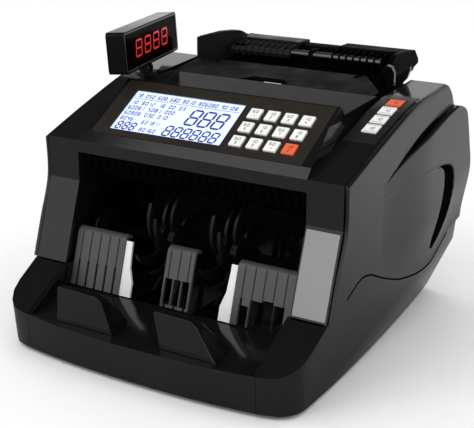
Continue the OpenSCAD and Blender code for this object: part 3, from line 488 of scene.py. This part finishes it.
# Rows of groups that stand where a screen has words
TITLE_GROUPS = ("18", "050", "608", "680", "8010", "806080", "90108")
WORD_ROWS = (("10", "8012", "18", "00", "03"), ("60081", "5081", "000"), ("60808", "030", "010"), ("8046-",))
TITLE_STYLE = (2.15, 4.2, 0.72, 0.0, 1.28)
WORD_STYLE = (2.25, 4.2, 0.75, 0.0, 1.28)
SMALL_STYLE = (2.2, 3.9, 0.65, 0.0, 1.3)
# The other figures: text, place from the screen's lower left corner, style
SCREEN_FIGURES = (
    ("888", (54, 14.6), (9.2, 16.3, 1.7, 0.12, 1.17)),
    ("888", (3.0, 1.8), (4.9, 8.2, 1.25, 0.12, 1.18)),
    ("60181-", (22, 9.6), SMALL_STYLE),
    ("888888", (43.0, 1.8), (6.4, 10.6, 1.35, 0.12, 1.18)),
    ("80160", (24, 2.4), SMALL_STYLE),
)
SCREEN_INK = (-1.02, -0.94)  # the screen lies 1 mm below the panel's face

# Key legends: each line's place from the key's middle, and its style
KEY_UPPER, KEY_UPPER_STYLE = (-2.5, 0.3), (2.0, 2.6, 0.42, 0.0, 1.3)
KEY_LOWER, KEY_LOWER_STYLE = (-0.8, -3.3), (1.6, 2.5, 0.42, 0.0, 1.25)
SIDE_LEGEND, SIDE_LEGEND_STYLE = (-2.3, -1.6), (2.0, 3.2, 0.45, 0.0, 1.3)
SIDE_LINE = (8.4, 0.3)
SIDE_LINE_V = (-3.9, 3.6)


def build_screen():
    """Figures on the back-lit screen: generic seven-segment groups in place of words."""
    left, low = LCD_LOW
    width, height = LCD_SIZE
    top, first = low + height, left + 2.6
    title_drop, line_drop, rows_drop, row_pitch = 6.9, 8.3, 14.1, 5.5
    line_inset, line_shorter, line_thick = 2.4, 5, 0.4
    marks = figure_groups(TITLE_GROUPS, first, top - title_drop, TITLE_STYLE, advance=2.75, space=2.4)
    marks.append(bar(left + line_inset, top - line_drop, width - line_shorter, line_thick))
    for row, groups in enumerate(WORD_ROWS):
        v = top - rows_drop - row * row_pitch
        marks += figure_groups(groups, first, v, WORD_STYLE, advance=2.88, space=3.0, least=2)
    for text, (u, v), style in SCREEN_FIGURES:
        marks += figures(text, left + u, low + v, style)
    points, faces = plate_mesh(marks, *SCREEN_INK)
    piece("screen_figures", points, faces, LCD_INK, "chassis", PANEL)


def build_key_legends():
    """Small numerals on the keys."""
    for number in range(1, len(KEY_X) * len(KEY_Y) + 1):
        row, column = divmod(number - 1, len(KEY_X))
        u, v = KEY_X[column], KEY_Y[row]
        upper = "50" if number % 2 else "10"
        marks = figures(upper, u + KEY_UPPER[0], v + KEY_UPPER[1], KEY_UPPER_STYLE)
        marks += figures(str(number % 10), u + KEY_LOWER[0], v + KEY_LOWER[1], KEY_LOWER_STYLE)
        points, faces = plate_mesh(marks, KEY_TOP, KEY_TOP + LEGEND_THICK)
        name = f"key_{number}"
        piece(f"legend_{name}", points, faces, LEGEND, name, PANEL)


def build_side_legends():
    """A numeral between two thin lines on each side key."""
    for number, (y, z, tilt) in enumerate(SIDE_KEYS, 1):
        place = (Matrix.Translation(Vector((SIDE_KEY_X, y, z)) * MM)
                 @ Matrix.Rotation(math.radians(tilt), 4, "X"))
        marks = [bar(-SIDE_LINE[0] / 2, v, *SIDE_LINE) for v in SIDE_LINE_V]
        marks += figures("10", *SIDE_LEGEND, SIDE_LEGEND_STYLE)
        points, faces = plate_mesh(marks, KEY_TOP, KEY_TOP + LEGEND_THICK)
        name = f"side_key_{number}"
        piece(f"legend_side_{number}", points, faces, LEGEND, name, place)


# ---------------------------------------------------------------- customer display

DISPLAY = (Matrix.Translation(PIVOTS["display_tilt"]) @ Matrix.Rotation(DISPLAY_TURN, 4, "Z")
           @ Matrix.Rotation(-DISPLAY_LEAN, 4, "Y") @ Matrix.Translation(Vector(DISPLAY_MIDDLE) * MM))
# Turns (x, y, z) places into (z, x, y): u then runs along y, v runs up, and the third axis along x
FACE_TURN = Matrix(((0, 0, 1, 0), (1, 0, 0, 0), (0, 1, 0, 0), (0, 0, 0, 1)))

# Bezel's two rims: inset from the case's edge, and corner radius
BEZEL_OUTER = (1.2, 2.6)
BEZEL_INNER = (2.0, 1.9)
BEZEL_PROUD = 0.2
BEZEL_DEEP = 0.6
LED_TEXT = "8888"
LED_SIZE = (12.4, 12.8)
LED_PITCH = 17.6
LED_STROKE = 1.4
LED_SLANT = 0.14
LED_SHIFT = -1.0
LED_DEPTHS = (0.19, 0.1)


def rounded(half_u, half_v, radius):
    """A rectangle with rounded corners."""
    steps = 5
    outline = []
    for corner, (su, sv) in enumerate(((1, -1), (1, 1), (-1, 1), (-1, -1))):
        for step in range(steps + 1):
            turn = math.radians(-90 + 90 * corner + 90 * step / steps)
            outline.append((su * (half_u - radius) + radius * math.cos(turn),
                            sv * (half_v - radius) + radius * math.sin(turn)))
    return outline


def build_display():
    """Bezel round the customer display's window, and its lit figures."""
    length, height, thick = DISPLAY_SIZE
    face = thick / 2
    on_face = DISPLAY @ FACE_TURN
    outer, inner = (rounded(length / 2 - inset, height / 2 - inset, radius)
                    for inset, radius in (BEZEL_OUTER, BEZEL_INNER))
    loops = [(outer, face - BEZEL_PROUD), (outer, face + BEZEL_PROUD),
             (inner, face + BEZEL_PROUD), (inner, face - BEZEL_DEEP)]
    points = [(u, v, w) for loop, w in loops for u, v in loop]
    count = len(outer)
    faces = []
    for ring in range(len(loops)):
        a, b = ring * count, (ring + 1) % len(loops) * count
        for i in range(count):
            j = (i + 1) % count
            faces.append((a + i, a + j, b + j, b + i))
    bezel = piece("display_bezel", points, faces, TRIM, "display_head", on_face)
    round_edges(bezel, width=0.1)
    width, tall = LED_SIZE
    left = -((len(LED_TEXT) - 1) * LED_PITCH + width) / 2 + LED_SHIFT
    style = (width, tall, LED_STROKE, LED_SLANT, LED_PITCH / width)
    marks = figures(LED_TEXT, left, -tall / 2, style)
    points, faces = plate_mesh(marks, *(face - depth for depth in LED_DEPTHS))
    piece("display_figures", points, faces, LED_RED, "display_head", on_face)


# ---------------------------------------------------------------- side covers

# Grid lines close to a sheet's edge, as shares of its width
FINE_START = np.array([0, 0.002, 0.005, 0.009])
FINE_END = 1 - FINE_START[::-1]


def curve(points, steps):
    """Samples, at shares of its length, along a Catmull-Rom curve through points."""
    samples_per_span = 24
    p = np.array([points[0], *points, points[-1]], float)
    dense = []
    for a, b, c, d in zip(p, p[1:], p[2:], p[3:]):
        for t in np.linspace(0, 1, samples_per_span, endpoint=False):
            dense.append(0.5 * (2 * b + (c - a) * t + (2 * a - 5 * b + 4 * c - d) * t ** 2
                                + (3 * b - a - 3 * c + d) * t ** 3))
    dense.append(p[-1])
    dense = np.array(dense)
    run = np.concatenate([[0], np.cumsum(np.linalg.norm(np.diff(dense, axis=0), axis=1))])
    at = np.asarray(steps) * run[-1]
    return np.stack([np.interp(at, run, dense[:, k]) for k in (0, 1)], axis=1)


def ease(value):
    """A soft step from 0 to 1 as the value goes from 0 to 1."""
    value = np.clip(value, 0, 1)
    return value * value * (3 - 2 * value)


def edge_drop(depth, shares, width):
    """How far a sheet falls away, in the last stretch before its share reaches 1."""
    return depth * (1 - ease((1 - shares) / width))


def patch(low, high, left, right, us, vs):
    """Coons patch between four boundary curves, as an array [v, u, (y, z)]."""
    bottom, top = curve(low, us), curve(high, us)
    start, end = curve(left, vs), curve(right, vs)
    u, v = us[None, :, None], vs[:, None, None]
    ruled = (1 - v) * bottom[None] + v * top[None] + (1 - u) * start[:, None] + u * end[:, None]
    corners = ((1 - u) * (1 - v) * bottom[0] + u * (1 - v) * bottom[-1]
               + (1 - u) * v * top[0] + u * v * top[-1])
    return ruled - corners


def inside(outline, grid):
    """Distance from each grid point to an outline: positive inside it, negative outside."""
    flat = grid.reshape(-1, 2)
    after = np.roll(outline, -1, axis=0)
    crossings = np.zeros(len(flat), bool)
    nearest = np.full(len(flat), np.inf)
    for a, b in zip(outline, after):
        spans = (a[1] > flat[:, 1]) != (b[1] > flat[:, 1])
        if a[1] != b[1]:
            cut = a[0] + (flat[:, 1] - a[1]) * (b[0] - a[0]) / (b[1] - a[1])
            crossings ^= spans & (flat[:, 0] < cut)
        line = b - a
        along = np.clip(((flat - a) @ line) / max(line @ line, 1e-9), 0, 1)
        nearest = np.minimum(nearest, np.linalg.norm(flat - (a + along[:, None] * line), axis=1))
    return np.where(crossings, nearest, -nearest).reshape(grid.shape[:2])


def ridge_height(grid):
    """A low, soft ridge that runs from the front of the raised panel into the groove."""
    height, half_width = 0.35, 1.1
    path = curve(COVER_RIDGE, np.linspace(0, 1, 80))
    gap = np.linalg.norm(grid.reshape(-1, 2)[:, None] - path[None], axis=2).min(axis=1)
    return height * np.exp(-(gap / half_width) ** 2).reshape(grid.shape[:2])


def slab(name, side, grid, front, back, material, inner=None, mask=None):
    """A closed sheet over a [v, u] grid of (y, z) places, its outer face at front and its inner at back.

    Outer faces where the mask is true take the inner material, a darker one for painted shade.
    """
    rows, columns = grid.shape[:2]
    cells = [(r, c) for r in range(rows) for c in range(columns)]
    points = [(side * float(front[r, c]), *map(float, grid[r, c])) for r, c in cells]
    points += [(side * back, *map(float, grid[r, c])) for r, c in cells]
    total = rows * columns
    faces, dark = [], []
    for r in range(rows - 1):
        for c in range(columns - 1):
            a = r * columns + c
            faces.append((a, a + 1, a + columns + 1, a + columns))
            dark.append(mask is not None and bool(mask[r, c]))
            faces.append((total + a, total + a + columns, total + a + columns + 1, total + a + 1))
            dark.append(False)
    edge = list(range(columns))
    edge += [r * columns + columns - 1 for r in range(1, rows)]
    edge += [(rows - 1) * columns + c for c in range(columns - 2, -1, -1)]
    edge += [r * columns for r in range(rows - 2, 0, -1)]
    for a, b in zip(edge, edge[1:] + edge[:1]):
        faces.append((a, total + a, total + b, b))
        dark.append(False)
    if side < 0:
        faces = [face[::-1] for face in faces]
    sheet = piece(name, points, faces, material, "chassis", smooth=True)
    if inner is not None:
        sheet.data.materials.append(inner)
        for polygon, below in zip(sheet.data.polygons, dark):
            polygon.material_index = int(below)
    return sheet


def build_side_cover(side, node):
    """Side cover: one smooth sheet that falls away at its top and rear edges."""
    us = np.concatenate([FINE_START, np.linspace(0.016, 0.984, 60), FINE_END])
    vs = np.concatenate([FINE_START, np.linspace(0.02, 0.975, 60), [0.983, 0.99, 0.996, 1]])
    sheet = patch(COVER_FOOT, COVER_TOP, COVER_FRONT, COVER_REAR, us, vs)
    front = np.full(sheet.shape[:2], COVER_X)
    front = front - edge_drop(COVER_EDGE_DROP, vs[:, None], COVER_TOP_EDGE)
    front = front - edge_drop(COVER_EDGE_DROP, us[None, :], COVER_REAR_EDGE)
    cover = slab(f"cover_{node}", side, sheet, front, COVER_X - COVER_THICK, COVER_BLACK)
    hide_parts(node)


def build_side_panel(side, node):
    """Raised rear panel of a side cover: it climbs towards the rear and carries a hook-shaped groove."""
    climb_most, climb_front, climb_run, climb_share = 4.6, -24, 80, 0.42
    ridge_front, ridge_run = -27, 20
    groove_wall, groove_share, groove_from = 2.2, 0.75, 0.6
    lip, lip_from, lip_edge = 0.5, 1.0, 0.01
    sunk, thick = 0.12, 1.8
    us = np.concatenate([FINE_START, np.linspace(0.013, 0.985, 210), FINE_END])
    vs = np.concatenate([[0, 0.01], np.linspace(0.02, 0.985, 130), FINE_END])
    panel = patch(PANEL_FOOT, COVER_SWEEP, PANEL_FRONT, COVER_BACK, us, vs)
    y = panel[..., 0]
    climb = climb_most * ease((y - climb_front) / climb_run)
    climb = climb * ease(vs[:, None] / climb_share) - sunk
    groove = np.concatenate([curve(GROOVE_OUTER, np.linspace(0, 1, 40)),
                             curve(GROOVE_INNER, np.linspace(1, 0, 40))])
    deep = inside(groove, panel)
    rise = climb + ridge_height(panel) * ease((y - ridge_front) / ridge_run)
    rise = rise * (1 - groove_share * ease(deep / groove_wall) * (climb > groove_from))
    rise = rise - edge_drop(lip, vs[:, None], lip_edge) * (climb > lip_from)
    rise = rise - edge_drop(COVER_EDGE_DROP, us[None, :], COVER_REAR_EDGE)
    # Faces over the groove take the near-black bay material: painted shade inside the groove
    groove_shade_faces = (deep[:-1, :-1] + deep[1:, 1:]) / 2 > 0.5
    name = f"panel_{node}"
    slab(name, side, panel, COVER_X + rise, COVER_X - thick, COVER_BLACK, BAY_BLACK_AND_SHADE, groove_shade_faces)


def build_cover_lines(side, node):
    """Painted shade over the sweep, and the dark seam along the foot."""
    sweep_shade_least, sweep_shade_proud, sweep_shade_deep = 0.05, 0.12, 0.1
    seam_below, seam_above, seam_proud, seam_deep = 0.9, 0.35, 0.14, 2.4
    shares = np.linspace(0, 1, 40)
    # Painted shade: the gap piece is a near-black band from the sweep up to the lens curve, where the step
    # face lies in shade
    low, high = curve(COVER_SWEEP[1:-1], shares), curve(COVER_LENS, shares)
    fade = np.sin(np.pi * shares)[:, None] ** 0.6
    gap = np.stack([low, low + (high - low) * fade + np.array([0, sweep_shade_least])])
    front = np.full(gap.shape[:2], COVER_X + sweep_shade_proud)
    slab(f"gap_{node}", side, gap, front, COVER_X - sweep_shade_deep, BAY_BLACK_AND_SHADE)
    line = curve(COVER_FOOT[1:-1], np.linspace(0, 1, 90))
    seam = np.stack([line - np.array([0, seam_below]), line + np.array([0, seam_above])])
    front = np.full(seam.shape[:2], COVER_X + seam_proud)
    slab(f"seam_{node}", side, seam, front, COVER_X - seam_deep, BAY_BLACK_AND_SHADE)


# ---------------------------------------------------------------- impellers and label

FINGERS = 6
FINGER_START = math.radians(172)
FINGER_SWEEP = math.radians(52)
FINGER_ROOT = 9.5
FINGER_HEIGHTS = (0.8, 3.2)
HUB_R = 12.5
HUB_HEIGHTS = (-0.6, 4.6)


def finger_outline(start):
    """A curved finger that narrows to a point, from the hub out to the wheel's rim."""
    steps, root_width, tip_width = 14, 17.0, 0.2
    outer, inner = [], []
    for step in range(steps + 1):
        t = step / steps
        radius = FINGER_ROOT + (IMPELLER_R - FINGER_ROOT) * t ** 0.75
        turn = start - FINGER_SWEEP * t ** 1.1
        wide = tip_width + root_width * (1 - t) ** 0.9 * (0.35 + 0.65 * t)
        outer.append((radius * math.cos(turn), radius * math.sin(turn)))
        inner.append(((radius - wide * 0.55) * math.cos(turn - wide / radius),
                      (radius - wide * 0.55) * math.sin(turn - wide / radius)))
    return inner + outer[::-1]


def build_impellers():
    """Note catchers: discs of curved, pointed rubber fingers round a hub, in two staggered pairs."""
    stagger, hub_sides = 0.3, 40
    turns = [math.tau * k / hub_sides for k in range(hub_sides)]
    hub = [(HUB_R * math.cos(turn), HUB_R * math.sin(turn)) for turn in turns]
    axle = PIVOTS["impeller_spin"]
    for number, x in enumerate(IMPELLER_LAYERS):
        starts = [FINGER_START + math.tau * (finger + stagger * (number % 2)) / FINGERS
                  for finger in range(FINGERS)]
        place = Matrix.Translation((x * MM, axle.y, axle.z)) @ FACE_TURN
        points, faces = plate_mesh([finger_outline(start) for start in starts], *FINGER_HEIGHTS)
        name = f"impeller_fingers_{number + 1}"
        wheel = piece(name, points, faces, BLADE, "impeller", place)
        round_edges(wheel, width=0.15)
        points, faces = plate_mesh([hub], *HUB_HEIGHTS)
        name = f"impeller_hub_{number + 1}"
        core = piece(name, points, faces, BLADE, "impeller", place)
        round_edges(core, width=0.6)
        if number == 0:
            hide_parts("impeller_wheels")


def build_label():
    """Blank silver label on the right pillar's sloping front face."""
    lean = math.atan2(PILLAR_TOP[1] - PILLAR_FOOT[1], PILLAR_TOP[0] - PILLAR_FOOT[0])
    place = Matrix.Translation(Vector((0, *PILLAR_FOOT)) * MM) @ Matrix.Rotation(lean, 4, "X")
    points, faces = plate_mesh([bar(*LABEL_LOW, *LABEL_SIZE)], *LABEL_HEIGHTS)
    piece("pillar_label", points, faces, LABEL, "chassis", place)


dress_cad_nodes()
build_screen()
build_key_legends()
build_side_legends()
build_display()
build_label()
for cover_side, cover_node in ((1, "side_cover_right"), (-1, "side_cover_left")):
    build_side_cover(cover_side, cover_node)
    build_side_panel(cover_side, cover_node)
    build_cover_lines(cover_side, cover_node)
build_impellers()
round_cad_edges()


# ---------------------------------------------------------------- stage, light, camera

# The floor, in metres. Reflections show it dimmer in front of the machine than behind it
FLOOR_HALF = 6.0
FLOOR_GAIN_Y = (-0.1, 0.45)
FLOOR_GAIN = (0.3, 0.75)

# The sky. Reflections show it bright near the horizon and dark overhead, between two heights
SKY_EDGE = (math.sin(math.radians(22)), math.sin(math.radians(33)))
SKY_REFLECTED = (1.0, 0.04)
SKY_DIRECT = 1.12

# The camera, in metres, at the photograph's viewing angle
CAMERA_PLACE = Vector((0.4208, -0.6778, 0.3466))
CAMERA_AZIMUTH = math.radians(31.94)
CAMERA_ELEVATION = math.radians(18.38)
CAMERA_LENS = 87.34
CAMERA_SENSOR = 36.0


def build_stage():
    mesh = bpy.data.meshes.new("floor")
    h = FLOOR_HALF
    mesh.from_pydata([(-h, -h, 0), (h, -h, 0), (h, h, 0), (-h, h, 0)], [], [(0, 1, 2, 3)])
    floor = bpy.data.objects.new("floor", mesh)
    bpy.context.scene.collection.objects.link(floor)
    material = plastic("floor_white", (0.9, 0.9, 0.9), 0.9, spread=0.01)
    nodes, links = material.node_tree.nodes, material.node_tree.links
    base = nodes["Principled BSDF"].inputs["Base Color"]
    tint = base.links[0].from_socket
    place = split_place(nodes, links, "Object")
    span = remap(nodes, links, place["Y"], FLOOR_GAIN_Y, FLOOR_GAIN)
    gain = in_reflections(nodes, links, 1.0, span.outputs["Result"])
    scaled = nodes.new("ShaderNodeVectorMath")
    scaled.operation = "SCALE"
    links.new(tint, scaled.inputs[0])
    links.new(gain, scaled.inputs["Scale"])
    links.new(scaled.outputs["Vector"], base)
    mesh.materials.append(material)


def soft_light(name, place, target, size, power):
    data = bpy.data.lights.new(name, "AREA")
    data.shape = "RECTANGLE"
    data.size, data.size_y = size
    data.energy = power
    lamp = bpy.data.objects.new(name, data)
    bpy.context.scene.collection.objects.link(lamp)
    lamp.location = place
    aim = Vector(target) - Vector(place)
    lamp.rotation_euler = aim.to_track_quat("-Z", "Y").to_euler()


def build_world():
    """Even white light all round, with a darker sky in reflections."""
    world = bpy.data.worlds.new("studio")
    bpy.context.scene.world = world
    world.use_nodes = True
    nodes, links = world.node_tree.nodes, world.node_tree.links
    place = split_place(nodes, links, "Generated")
    span = remap(nodes, links, place["Z"], SKY_EDGE, SKY_REFLECTED)
    span.interpolation_type = "SMOOTHSTEP"
    strength = in_reflections(nodes, links, SKY_DIRECT, span.outputs["Result"])
    links.new(strength, nodes["Background"].inputs["Strength"])
    nodes["Background"].inputs["Color"].default_value = (1, 1, 1, 1)


def build_camera():
    data = bpy.data.cameras.new("camera")
    data.lens = CAMERA_LENS
    data.sensor_width = CAMERA_SENSOR
    camera = bpy.data.objects.new("camera", data)
    bpy.context.scene.collection.objects.link(camera)
    camera.location = CAMERA_PLACE
    camera.rotation_euler = (math.pi / 2 - CAMERA_ELEVATION, 0, CAMERA_AZIMUTH)
    bpy.context.scene.camera = camera


build_stage()
build_world()
build_camera()
soft_light("key_light", place=(-0.7, -1.1, 1.5), target=(0, 0, 0.1), size=(1.2, 1.2), power=6)
bpy.context.scene.view_settings.view_transform = "Standard"
